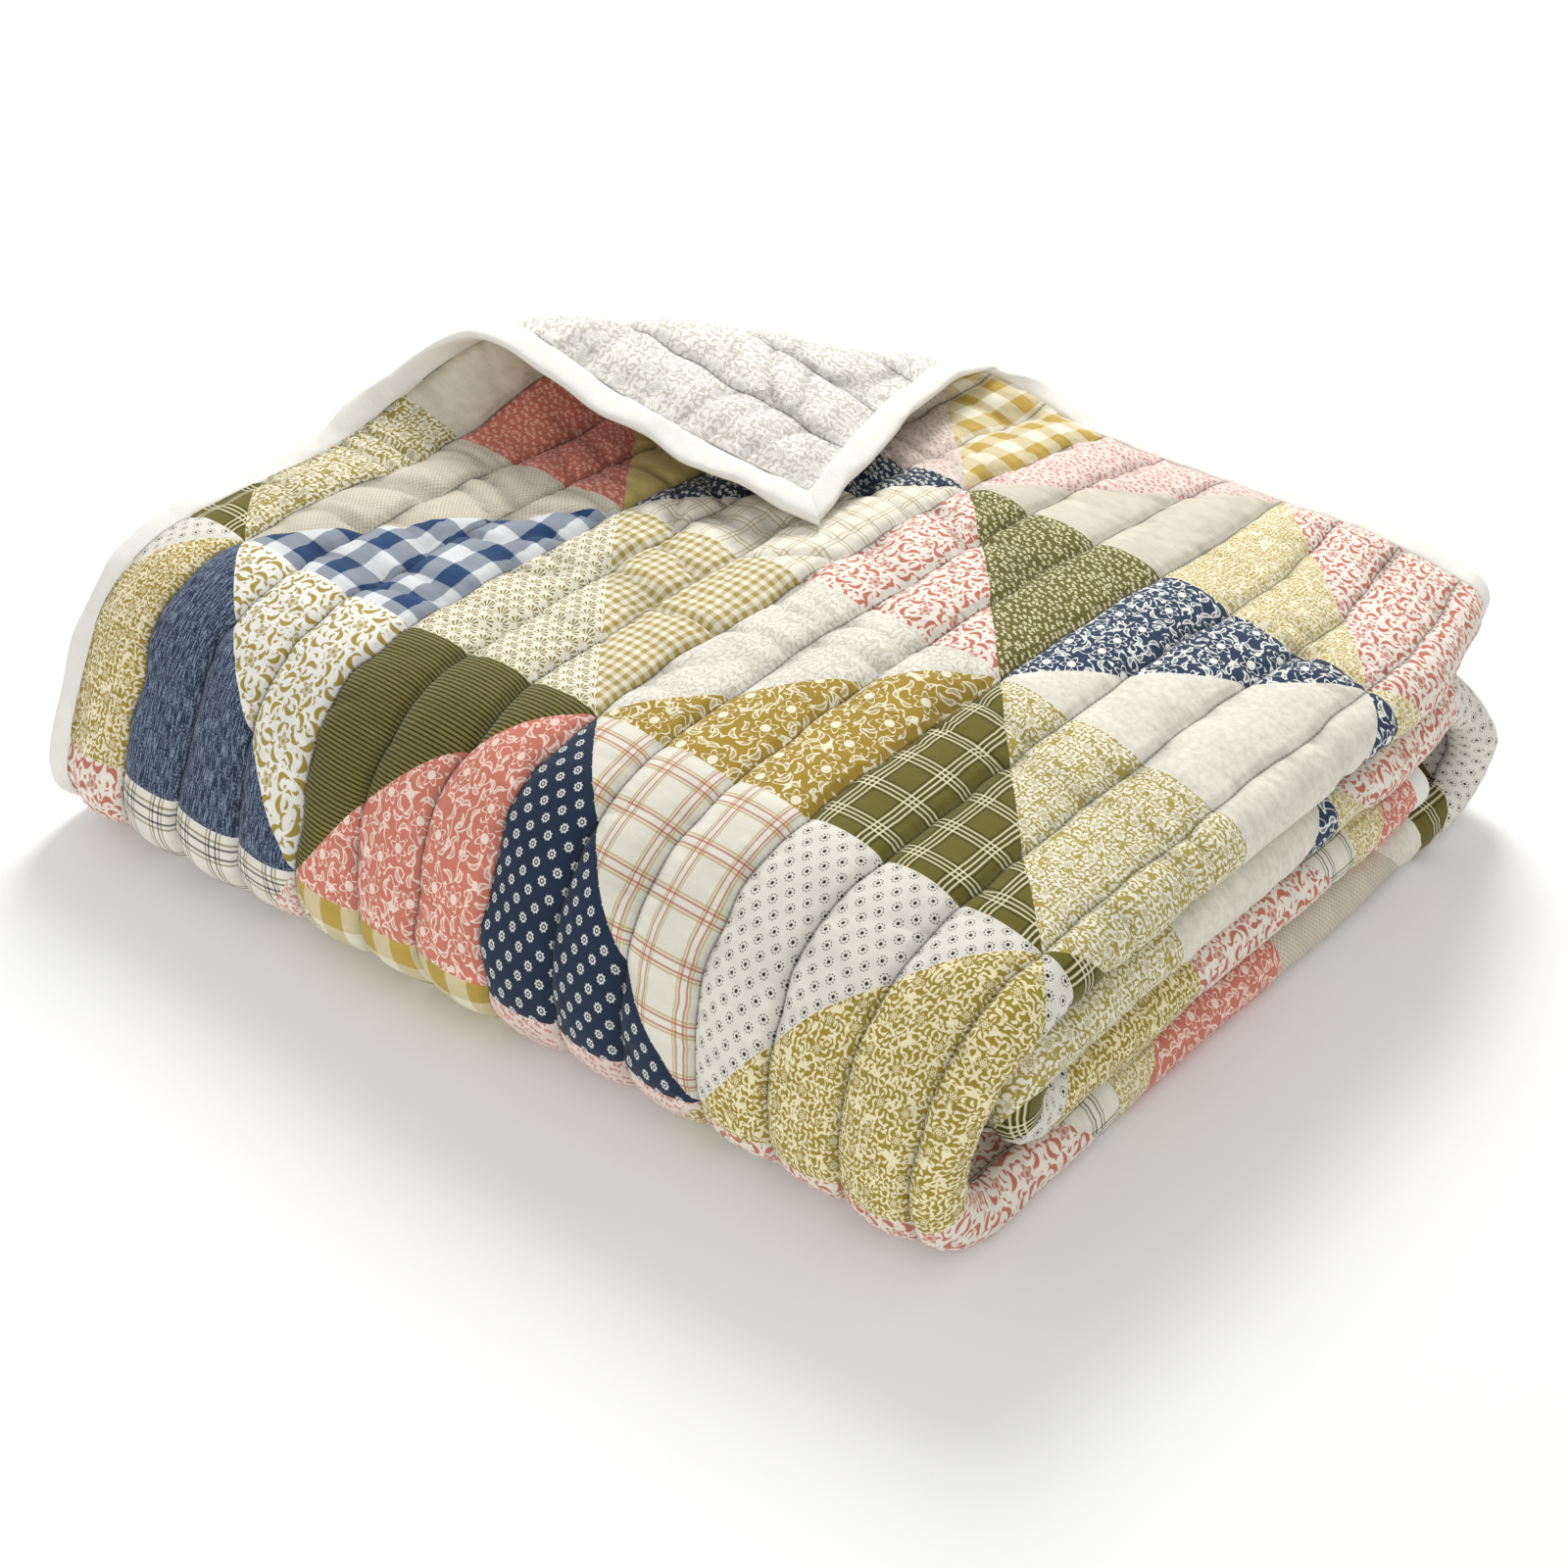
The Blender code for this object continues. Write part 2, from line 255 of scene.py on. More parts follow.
def turn_corner(i, j, w):
    """Turns the far left corner of the top layer back: returns the points and which ones move."""
    along = np.array([math.cos(CORNER_ANGLE), math.sin(CORNER_ANGLE)])
    out = np.array([-along[1], along[0]])
    px = (i - FIRST_I + EDGE) * PATCH
    py = (j - CORNER_J) * PATCH
    t = px * along[0] + py * along[1]
    s = px * out[0] + py * out[1]
    over = math.pi + FALL_SLOPE - RISE_TURN
    climb = ((RISE_ARC, RISE_TURN), (CREST_RADIUS * over, over))
    length = RISE_ARC + CREST_RADIUS * over
    _, height, _ = follow(np.array(length), (0.0, 0.0), 0.0, climb)
    settle = SETTLE_ARC * (1 - math.cos(FALL_SLOPE)) / FALL_SLOPE
    fall = (float(height) - CORNER_REST - settle) / math.sin(FALL_SLOPE)
    profile = climb + ((fall, 0.0), (SETTLE_ARC, -FALL_SLOPE), (ENDLESS, 0.0))
    a, z, h = follow(np.maximum(s, 0), (0.0, 0.0), 0.0, profile)
    z = z * (1 - CORNER_TAPER * (t / PATCH - 1) * smooth(s / PATCH))
    crest = RISE_ARC + CREST_RADIUS * (math.pi / 2 - RISE_TURN)
    crest_a, _, _ = follow(np.array(crest), (0.0, 0.0), 0.0, profile)
    swing = CORNER_SWING * smooth((s - crest + SWING_START) / SWING_WIDTH)
    t = t - CORNER_PIVOT
    a = a - crest_a - w * np.sin(h)
    t, a = t * np.cos(swing) - a * np.sin(swing), t * np.sin(swing) + a * np.cos(swing)
    t, a = t + CORNER_PIVOT, a + crest_a
    x = (FIRST_I - EDGE) * PATCH + t * along[0] + a * out[0]
    y = CORNER_J * PATCH + t * along[1] + a * out[1]
    z = TOP_MIDDLE + LAYER + z + w * np.cos(h)
    return x, y, z, (s > 0) & (i < CORNER_COLUMNS) & (j > 0)


# %% [markdown]
# Last, the stack sags: its ends are lower than its middle, the front fans out a little
# towards the left, and the underside is pressed flat on what it lies on.

# %% Let the stack sag, and fold any flat cloth
SAG_LEFT = 0.05         # shares of the height that the stack loses towards its ends
SAG_FAR = 0.12
SAG_FAR_LEFT = 0.16
SAG_RIGHT = 0.05
LEFT_RISE = 0.075       # how much fuller the upper front is at its left end
CROWN_RISE = 0.13
FRONT_FAN = 0.095       # how far the front comes forward, as shares of a patch
FRONT_BELLY = 0.035
FRONT_LOW = 0.02
FRONT_LOW_LEFT = 0.21
FRONT_SLIP = 0.11       # how far the lower front lies to the right
FAR_CORNER_PULL = 0.26
PRESSED = 0.0044        # how far the underside is pressed flat


def sag(x, y, z):
    """Lets the stack settle: lower at its ends, full in the middle, the front bulging out."""
    u = x / PATCH
    v = y / PATCH
    ends = 1 - SAG_LEFT * np.clip((1.8 - u) / 2.2, 0, 1) ** 1.5
    far = SAG_FAR * (1 - 0.45 * smooth((u - 2.2) / 1.4))
    ends = ends - far * np.clip((v - 1.7) / 1.4, 0, 1) ** 2
    ends = ends - SAG_FAR_LEFT * smooth((v - 1.9) / 1.2) * smooth((1.7 - u) / 1.2)
    ends = ends - SAG_RIGHT * np.clip((u - 3.0) / 1.1, 0, 1) ** 2
    rise = LEFT_RISE * np.clip((2.6 - u) / 2.6, 0, 1) * smooth((1.6 - v) / 1.3)
    rise = rise * smooth(z / 0.12) * smooth((0.265 - z) / 0.07)
    crown = CROWN_RISE * np.exp(-((u - 2.6) ** 2 + (v - 0.9) ** 2) / 1.8)
    front = np.clip((1.4 - v) / 1.4, 0, 1)
    belly = FRONT_FAN * np.clip(4.0 - u, 0, 5) + FRONT_BELLY * np.sin(np.pi * np.clip(u / 4, 0, 1))
    low = FRONT_LOW + FRONT_LOW_LEFT * (np.clip(4 - u, 0, 4) / 4) ** 2
    low = low * smooth((0.13 - z) / 0.10) * np.clip((0.6 - v) / 1.2, 0, 1)
    fan = -0.016 * (2.0 - u) * (v - 1.0)
    pull = FAR_CORNER_PULL * smooth((v - 2.1) / 1.3) * smooth((u - 2.2) / 2.0)
    pull = pull * smooth((z - 0.06) / 0.06)
    slip = FRONT_SLIP * smooth((0.16 - z) / 0.12) * smooth((0.6 - v) / 1.1) * np.clip(4.3 - u, 0, 1)
    x = x + PATCH * (slip - pull)
    y = y + PATCH * (fan - front * belly - low)
    return x, y, np.maximum(z * (ends + rise + crown) - PRESSED, 0)


def fold(i, j, w):
    """The folded place of each point of the flat quilt, in the shared frame."""
    x, n = fold_across(i, w)
    y, z = fold_along(j, n)
    cx, cy, cz, turned = turn_corner(i, j, w)
    x, y, z = np.where(turned, cx, x), np.where(turned, cy, y), np.where(turned, cz, z)
    return np.stack(sag(x, y, z), axis=-1) + INTO_FRAME


# %% [markdown]
# ## Padding, quilting and creases
# The three cloths of a quilt are stitched together along lines, and the wadding between them
# puffs up: each channel is a soft tube. The stitching also draws the cloth in, which makes
# short creases across the channels, never two alike. They are laid in by formula and a
# seeded unevenness, because a simulation at this fineness would take far too long.

# %% A seeded unevenness
RANDOM = np.random.default_rng(11).uniform(-1, 1, (64, 64))


def drift(u, v, seed):
    """Smooth unevenness between -1 and 1, about one bump for each unit."""
    u, v = np.broadcast_arrays(u + 11.37 * seed, v + 5.71 * seed)
    a, b = np.floor(u).astype(int), np.floor(v).astype(int)
    s, t = smooth(u - a), smooth(v - b)
    low = RANDOM[a % 64, b % 64] * (1 - s) + RANDOM[(a + 1) % 64, b % 64] * s
    high = RANDOM[a % 64, (b + 1) % 64] * (1 - s) + RANDOM[(a + 1) % 64, (b + 1) % 64] * s
    return low * (1 - t) + high * t


# %% Puffs, creases and seams
CROWN_HALF = 0.0068     # half the quilt's thickness in the middle of a channel
STITCH_HALF = 0.0016    # and at a quilting line
RIM_HALF = 0.0030       # and where the binding is sewn on
OPEN_PUFF = 0.0024      # how much higher a channel stands where nothing lies on it
CREASE = 0.0092         # depth of a short crease at full strength
CREASE_SPACING = 0.024
RUMPLE_SIZE = 0.036
SEAM_DITCH = 0.0008     # depth of the groove along a seam
DITCH_REACH = 0.0022
THINNEST = 0.0004
PINCH_REACH = 0.020     # how far inside the edge the cloth is pinched by the binding
LINE_WANDER = 0.0042    # how far a drawn-in quilting line strays to either side
SHORT_WANDER, LONG_WANDER = 0.022, 0.047
SLIDE_LEFT, SLIDE_RIGHT = 0.11, 0.03
SLIDE_START, SLIDE_LENGTH = 0.4, 3.1
SLOW_BILLOW, QUICK_BILLOW = 0.0026, 0.0016


def puff(i):
    """0 at a quilting line, 1 in the middle of a channel."""
    phase = (i / CHANNEL) % 1
    return np.sqrt(4 * phase * (1 - phase))


def open_face(i, j):
    """1 on the part of the quilt that nothing lies on."""
    return smooth((4.2 - i) / 0.4) * smooth((j + 1.9) / 0.6)


def seam_distance(i, j):
    """Distance in patches to the nearest seam across or aslant; the others lie under stitches."""
    across = np.abs(j - np.rint(j))
    aslant = np.minimum(np.abs((i - j) / 2 - np.rint((i - j) / 2)),
                        np.abs((i + j) / 2 - np.rint((i + j) / 2))) * math.sqrt(2)
    return np.minimum(across, aslant)


def creases(i, j, seed):
    """Depth of the short creases that run from one quilting line towards the next."""
    channel = i / CHANNEL
    row = np.floor(channel)
    lean = 1.6 * drift(j * 1.7, row * 3.1, seed + 4)
    run = j * PATCH / CREASE_SPACING + row * 7.3 + lean * (channel % 1)
    sharp = np.clip(1 - np.abs(drift(run, row * 0.8 + (channel % 1) * 0.5, seed)) / 0.30, 0, 1) ** 1.6
    fine = np.clip(1 - np.abs(drift(run * 2.3, channel * 1.7, seed + 1)) / 0.35, 0, 1) ** 1.4
    loose = smooth((2.6 - i) / 1.0) * smooth((j + 0.1) / 0.3)
    strength = np.clip(0.62 + 0.45 * loose + 1.1 * drift(i * 1.6, j * 2.4, seed + 2), 0.12, 1.25)
    lying = 0.42 + 0.58 * smooth((j + 0.1) / 0.6)
    reach = 1 - (0.72 - 0.25 * loose) * puff(i) ** 2
    return (0.8 * sharp + 0.25 * fine) * strength * lying * reach


def rumple(i, j, seed):
    """Soft bumps of a washed quilt, which differ from channel to channel."""
    row = np.floor(i / CHANNEL)
    along = drift(row * 4.7 + i / CHANNEL * 0.4, j * PATCH / RUMPLE_SIZE, seed + 9)
    return 0.20 * along + 0.16 * drift(i * 3.1, j * 2.3, seed + 7)


def half_thickness(i, j, seed):
    """Half the quilt's thickness, with its puffs, creases and sunken seams."""
    crown = CROWN_HALF + OPEN_PUFF * open_face(i, j)
    full = STITCH_HALF + (crown - STITCH_HALF) * puff(i) * (1 + rumple(i, j, seed))
    full = RIM_HALF + (full - RIM_HALF) * edge_pinch(i, j)
    ditch = SEAM_DITCH * np.exp(-(seam_distance(i, j) * PATCH / DITCH_REACH) ** 2)
    return np.maximum(full - CREASE * creases(i, j, seed) * puff(i) ** 0.4 - ditch, THINNEST)


def draw_in(i, j):
    """Moves the cloth sideways where the stitching wanders: returns the new place across."""
    line = np.rint(i / CHANNEL)
    wander = drift(line * 5.3, j * PATCH / SHORT_WANDER, 41)
    wander = wander + 0.5 * drift(line * 3.7, j * PATCH / LONG_WANDER, 42)
    phase = (i / CHANNEL) % 1
    near = np.clip(1 - 2 * np.minimum(phase, 1 - phase), 0, 1) ** 1.5
    inside = smooth((i - FIRST_I) / 0.1) * smooth((LAST_I - i) / 0.1)
    inside = inside * (0.45 + 0.55 * smooth((3.0 - i) / 1.6))
    return i + LINE_WANDER / PATCH * wander * near * inside


def slide(i, j):
    """Moves the cloth a little up round the front fold, most at its left: returns the new row."""
    share = np.sin(math.pi * np.clip((SLIDE_START - j) / SLIDE_LENGTH, 0, 1)) ** 2
    return j + share * (SLIDE_RIGHT + SLIDE_LEFT * np.clip((3.2 - i) / 3.2, 0, 1))


def edge_pinch(i, j):
    """0 at the stitched outer edge of the quilt, 1 where the binding no longer pinches it."""
    rim = np.minimum(np.minimum(i - FIRST_I, LAST_I - i), np.minimum(FIRST_J - j, j - LAST_J - EDGE))
    return smooth(rim * PATCH / PINCH_REACH)


def billow(i, j):
    """Slow unevenness of the top layer, which both of its faces share."""
    slow = SLOW_BILLOW * drift(i * 0.9, j * 0.9, 21) + QUICK_BILLOW * drift(i * 1.9, j * 2.1, 22)
    return open_face(i, j) * slow


# %% [markdown]
# ## Make a flat cloth and fold it
# A grid primitive is the flat cloth. Its lines lie on the seams of the patchwork, and a cell
# that a slanting seam crosses is cut in two along it, so every face belongs to one fabric.
# Two UV maps go with it: one in patches, which the prints follow, and one that lays the
# piece out for a picture of its finish.

# %% Read and move the points of a mesh
def points_of(obj):
    """All vertex places as an array."""
    flat = np.empty(len(obj.data.vertices) * 3, dtype=np.float32)
    obj.data.vertices.foreach_get("co", flat)
    return flat.reshape(-1, 3).astype(float)


def move_points(obj, places):
    """Gives every vertex its new place."""
    obj.data.vertices.foreach_set("co", places.astype(np.float32).ravel())
    obj.data.update()


def flat_grid(name, columns, rows):
    """A flat cloth whose grid lines lie at the given places, in patches."""
    bpy.ops.object.select_all(action="DESELECT")
    bpy.ops.mesh.primitive_grid_add(x_subdivisions=len(columns) - 1, y_subdivisions=len(rows) - 1,
                                    size=2, calc_uvs=False)
    cloth = bpy.context.object
    cloth.name = cloth.data.name = name
    places = points_of(cloth)
    a = np.rint((places[:, 0] + 1) / 2 * (len(columns) - 1)).astype(int)
    b = np.rint((places[:, 1] + 1) / 2 * (len(rows) - 1)).astype(int)
    move_points(cloth, np.stack([columns[a], rows[b], 0 * places[:, 0]], axis=-1))
    return cloth


# %% Cut the cells that a slanting seam crosses
TOUCH = 1e-4            # places this near to each other, in patches, are the same


def cut_slanting_seams(cloth):
    """Splits each square cell along the slanting seam through it."""
    bm = bmesh.new()
    bm.from_mesh(cloth.data)
    for face in list(bm.faces):
        corners = list(face.verts)
        for a, b in ((corners[0], corners[2]), (corners[1], corners[3])):
            same = abs((a.co.x - a.co.y) - (b.co.x - b.co.y)) < TOUCH
            value = (a.co.x - a.co.y if same else a.co.x + a.co.y) / 2
            level = same or abs((a.co.x + a.co.y) - (b.co.x + b.co.y)) < TOUCH
            if level and abs(value - round(value)) < TOUCH:
                bmesh.utils.face_split(face, a, b)
                break
    bm.to_mesh(cloth.data)
    bm.free()


def lay_out(cloth):
    """Adds the two UV maps, from the places of the flat cloth."""
    flat = points_of(cloth)[:, :2]
    index = np.empty(len(cloth.data.loops), dtype=np.int32)
    cloth.data.loops.foreach_get("vertex_index", index)
    low, high = flat.min(axis=0), flat.max(axis=0)
    for name, places in (("Cloth", flat), ("OFBake", 0.01 + 0.98 * (flat - low) / (high - low))):
        layer = cloth.data.uv_layers.new(name=name)
        layer.data.foreach_set("uv", places[index].astype(np.float32).ravel())


# %% [markdown]
# ## Shader helpers
# A print is arithmetic on a place: stripes come from a remainder, petals from an angle. The
# small class below wraps a socket so that such arithmetic can be written as it is on paper,
# and each operator adds its Math node.

# %% Shader arithmetic
class Number:
    """One number socket of a material. Arithmetic on it adds Math nodes."""

    def __init__(self, recipe, socket):
        self.recipe = recipe
        self.socket = socket

    def math(self, operation, *others):
        """The result of a Math node."""
        return self.recipe.number("ShaderNodeMath", {"operation": operation}, (self, *others))

    def __add__(self, other):
        return self.math("ADD", other)

    def __sub__(self, other):
        return self.math("SUBTRACT", other)

    def __mul__(self, other):
        return self.math("MULTIPLY", other)

    def __truediv__(self, other):
        return self.math("DIVIDE", other)

    def __rsub__(self, other):
        return self.recipe.number("ShaderNodeMath", {"operation": "SUBTRACT"}, (other, self))

    __radd__ = __add__
    __rmul__ = __mul__

    def below(self, edge, soft=0.1):
        """1 where the value is under the edge, with a soft step."""
        return ((edge - self) / soft + 0.5).math("MAXIMUM", 0.0).math("MINIMUM", 1.0)

    def centred(self, pitch):
        """The distance from the middle of the cell of a repeat, from minus to plus half a pitch."""
        return (self / pitch).math("FRACT") * pitch - pitch / 2


class Recipe:
    """The nodes of one cloth finish."""

    def __init__(self, name):
        self.material = bpy.data.materials.new(name)
        self.material.use_nodes = True
        self.tree = self.material.node_tree
        self.shader = self.tree.nodes["Principled BSDF"]

    def node(self, kind, settings, inputs):
        """Adds a node of a kind, with its settings and then its values or links."""
        node = self.tree.nodes.new(kind)
        for key, value in settings.items():
            setattr(node, key, value)
        pairs = inputs.items() if isinstance(inputs, dict) else enumerate(inputs)
        for key, value in pairs:
            self.feed(node.inputs[key], value)
        return node

    def feed(self, socket, value):
        """Sets a socket to a value, or links it."""
        if isinstance(value, Number):
            value = value.socket
        if isinstance(value, bpy.types.NodeSocket):
            self.tree.links.new(value, socket)
        else:
            socket.default_value = value

    def number(self, kind, settings, inputs, output=0):
        """Adds a node and wraps one of its outputs."""
        return Number(self, self.node(kind, settings, inputs).outputs[output])

    def mix(self, share, first, second):
        """A colour between two."""
        node = self.node("ShaderNodeMix", {"data_type": "RGBA"}, {0: share, 6: first, 7: second})
        return node.outputs[2]

    def place(self):
        """The place on the flat quilt in millimetres, across and along, and as a vector."""
        uv = self.node("ShaderNodeUVMap", {"uv_map": "Cloth"}, {})
        scale = 1000 * PATCH
        mapped = self.node("ShaderNodeMapping", {}, {0: uv.outputs[0], 3: (scale, scale, scale)})
        parts = self.node("ShaderNodeSeparateXYZ", {}, {0: mapped.outputs[0]})
        return Number(self, parts.outputs[0]), Number(self, parts.outputs[1]), mapped.outputs[0]

    def noise(self, vector, size, detail=2.0):
        """A cloudy value around 0.5, with blots of about the given size."""
        return self.number("ShaderNodeTexNoise", {}, {"Vector": vector, "Scale": 1 / size,
                                                      "Detail": detail})


# %% [markdown]
# ## Prints
# Each fabric is a ground colour with one print. Woven checks are bands in both directions,
# weaker where one lies over the ground and full where two cross. Small flowers stand
# at the cells of a Voronoi texture, where the angle and the distance from the middle draw
# the petals. A stem is a narrow band of a cloudy texture, so it wanders as a vine does.

# %% Helpers for the prints
def bands(value, pitch, places, width, soft=0.25):
    """Lines of a width, repeated at each pitch, at one or more places within it."""
    total = 0.0
    for place in places:
        line = (value + place).centred(pitch).math("ABSOLUTE").below(width / 2, soft)
        total = line + total
    return total


def flower_cells(recipe, vector, pitch, ragged):
    """The place from the middle of the nearest cell, its distance, angle and own random value."""
    cells = recipe.node("ShaderNodeTexVoronoi", {}, {"Vector": vector, "Scale": 1 / pitch,
                                                     "Randomness": ragged})
    offset = recipe.node("ShaderNodeVectorMath", {"operation": "SUBTRACT"},
                         {0: vector, 1: cells.outputs["Position"]})
    parts = recipe.node("ShaderNodeSeparateXYZ", {}, {0: offset.outputs[0]})
    across, along = Number(recipe, parts.outputs[0]), Number(recipe, parts.outputs[1])
    chance = recipe.number("ShaderNodeSeparateColor", {}, {0: cells.outputs["Color"]})
    reach = (across * across + along * along).math("SQRT")
    return across, along, reach, along.math("ARCTAN2", across), chance


def drawn(value, edge, fill=0.0, pen=0.5):
    """A drawn outline where the value meets the edge, and a fill inside it."""
    outline = (value - edge).math("ABSOLUTE").below(pen / 2, 0.35)
    return outline.math("MAXIMUM", value.below(edge, 0.4) * fill)


def blossom(reach, angle, chance, size, petals, fill=0.0):
    """A flower with round petals, an inner ring and an eye."""
    edge = ((angle + chance * 6.0) * petals).math("COSINE") * 0.22 + 0.78
    ring = drawn(reach, size * 0.45)
    eye = reach.below(size * 0.2, 0.3)
    flower = drawn(reach / edge, size, fill)
    return (flower - ring * fill).math("MAXIMUM", ring * (1 - fill)).math("MAXIMUM", eye)


def leaf(across, along, chance, length, width, fill=1.0, pen=0.5):
    """A bent leaf, turned at random."""
    turn = chance * 6.28
    u = across * turn.math("COSINE") + along * turn.math("SINE")
    v = along * turn.math("COSINE") - across * turn.math("SINE")
    bent = v + u * u * (0.5 / length)
    reach = ((u * u) * (width / length) ** 2 + bent * bent).math("SQRT")
    return drawn(reach, width, fill, pen)


def stems(recipe, vector, size, width):
    """Wandering stems: a narrow band of a cloudy value."""
    cloud = recipe.noise(vector, size, 1.0)
    return (cloud - 0.5).math("ABSOLUTE").below(width / size * 0.35, width / size * 0.2)


# %% Each kind of print returns how much ink, or how much of two inks, there is at a place
def gingham(recipe, across, along, vector, pitch=24.0, single=0.5):
    warp = bands(across, pitch, (0,), pitch / 2, 0.6)
    weft = bands(along, pitch, (0,), pitch / 2, 0.6)
    return warp.math("MAXIMUM", weft) * single + warp * weft * (1 - single)


def plaid(recipe, across, along, vector, pitch=19.0, places=(-1.6, 1.6), width=1.0, beside=()):
    lines = bands(across, pitch, places, width) + bands(along, pitch, places, width)
    if not beside:
        return (lines * 0.8).math("MINIMUM", 1.0)
    others = bands(across, pitch, beside, width) + bands(along, pitch, beside, width)
    return (lines * 0.8).math("MINIMUM", 1.0), (others * 0.7).math("MINIMUM", 1.0)


def floral(recipe, across, along, vector, pitch=24.0, size=6.0, petals=6.0):
    _, _, reach, angle, chance = flower_cells(recipe, vector, pitch, 0.5)
    edge = ((angle + chance * 6.0) * petals).math("COSINE") * 0.22 + 0.78
    flower = drawn(reach / edge, size, pen=1.1).math("MAXIMUM", drawn(reach, size * 0.36, 1.0, 0.8))
    room = 1 - reach.below(size * 1.25, 0.6)
    u, v, _, _, turn = flower_cells(recipe, vector, size * 1.35, 0.5)
    leaves = leaf(u, v, turn, size * 0.58, size * 0.19, 0.25, 0.8)
    greens = leaves.math("MAXIMUM", stems(recipe, vector, pitch * 0.5, 0.5))
    return flower.math("MAXIMUM", greens * room)


def ditsy(recipe, across, along, vector, pitch=6.0, size=1.7, petals=5.0):
    u, v, reach, angle, chance = flower_cells(recipe, vector, pitch, 0.75)
    edge = ((angle + chance * 6.0) * petals).math("COSINE") * 0.25 + 0.75
    sprig = leaf(u - size * 1.3, v + size * 0.6, chance, size * 0.8, size * 0.32)
    return (reach / edge).below(size, 0.4).math("MAXIMUM", sprig)


def vines(recipe, across, along, vector, pitch=9.0, length=1.7, width=0.52):
    u, v, _, _, turn = flower_cells(recipe, vector, length * 2.1, 0.45)
    leaves = leaf(u, v, turn, length, width)
    _, _, reach, angle, chance = flower_cells(recipe, vector, pitch * 1.7, 0.5)
    bloom = blossom(reach, angle, chance, length * 1.5, 6.0)
    room = 1 - reach.below(length * 1.8, 0.6)
    greens = leaves.math("MAXIMUM", stems(recipe, vector, pitch, 0.6))
    return (greens * room).math("MAXIMUM", bloom)


def leafy(recipe, across, along, vector, pitch=9.6, length=3.6, width=1.35):
    u, v, _, _, turn = flower_cells(recipe, vector, pitch, 0.45)
    u2, v2, _, _, turn2 = flower_cells(recipe, vector, pitch * 0.56, 0.5)
    big = leaf(u, v, turn, length, width)
    small = leaf(u2, v2, turn2, length * 0.46, width * 0.5)
    beside = 1 - ((u * u + v * v).math("SQRT")).below(length * 0.95, 0.6)
    _, _, reach, angle, chance = flower_cells(recipe, vector, pitch * 2.4, 0.5)
    bloom = blossom(reach, angle, chance, length * 1.15, 5.0, 0.8)
    room = 1 - reach.below(length * 1.4, 0.5)
    return bloom.math("MAXIMUM", big.math("MAXIMUM", small * beside) * room)


def staggered(across, along, pitch, rows):
    """The place from the middle of a cell, where every other row is moved by half a cell."""
    row = (along / rows).math("FLOOR")
    return (across + row * (pitch / 2)).centred(pitch), along.centred(rows)


def dot_flowers(recipe, across, along, vector, pitch=13.6, size=2.6):
    u, v = staggered(across, along, pitch, pitch / 2)
    reach = (u * u + v * v).math("SQRT")
    angle = v.math("ARCTAN2", u)
    edge = (angle * 8.0).math("COSINE") * 0.12 + 0.88
    disc = (reach / edge).below(size, 0.4)
    hole = reach.below(size * 0.52, 0.3) - reach.below(size * 0.24, 0.3)
    return disc - hole


def dot_rings(recipe, across, along, vector, pitch=12.4, size=2.3):
    u, v = staggered(across, along, pitch, pitch / 2)
    reach = (u * u + v * v).math("SQRT")
    dots = (v.math("ARCTAN2", u) * 9.0).math("COSINE").below(0.2, 0.6)
    ring = (reach - size).math("ABSOLUTE").below(0.35, 0.3) * dots
    return reach.below(size * 0.42, 0.4).math("MAXIMUM", ring * 0.85)


def fans(recipe, across, along, vector, pitch=12.0):
    u, v = staggered(across, along, pitch, pitch / 2)
    lift = v + pitch / 4
    reach = (u * u + lift * lift).math("SQRT")
    rays = (lift.math("ARCTAN2", u) * 11.0).math("COSINE").below(0.1, 0.5)
    inside = reach.below(pitch * 0.44, 0.5) * (1 - reach.below(pitch * 0.12, 0.4))
    return rays * inside


def lattice(recipe, across, along, vector, pitch=3.2):
    threads = (bands(across + along, pitch, (0,), 0.9, 0.8)
               + bands(across - along, pitch, (0,), 0.9, 0.8))
    return threads * 0.5 + recipe.noise(vector, 5.0) * 0.3


def stripes(recipe, across, along, vector, pitch=2.5):
    slub = recipe.noise(vector, 2.0) * 0.5
    return bands(along + slub, pitch, (0,), pitch * 0.40, 0.4) * (0.8 + recipe.noise(vector, 1.5) * 0.4)


def chambray(recipe, across, along, vector):
    threads = recipe.node("ShaderNodeVectorMath", {"operation": "MULTIPLY"},
                          {0: vector, 1: (1.0, 0.12, 1.0)})
    streaks = recipe.noise(threads.outputs[0], 1.0, 1.0)
    specks = recipe.noise(vector, 1.1, 1.0)
    return ((streaks - 0.5) * 3.6 + (specks - 0.5) * 2.4 + 0.22).math("MAXIMUM", 0.0)


def clouds(recipe, across, along, vector, size=9.0):
    return (recipe.noise(vector, size, 4.0) - 0.4) * 2.2


# %% [markdown]
# ## Fabrics
# The table is the maker's list of fabrics: a print, its ground and its ink colours, and the
# sizes that differ from the print's own. Colours are given as they look on a screen and
# turned into the linear values that the shader takes.

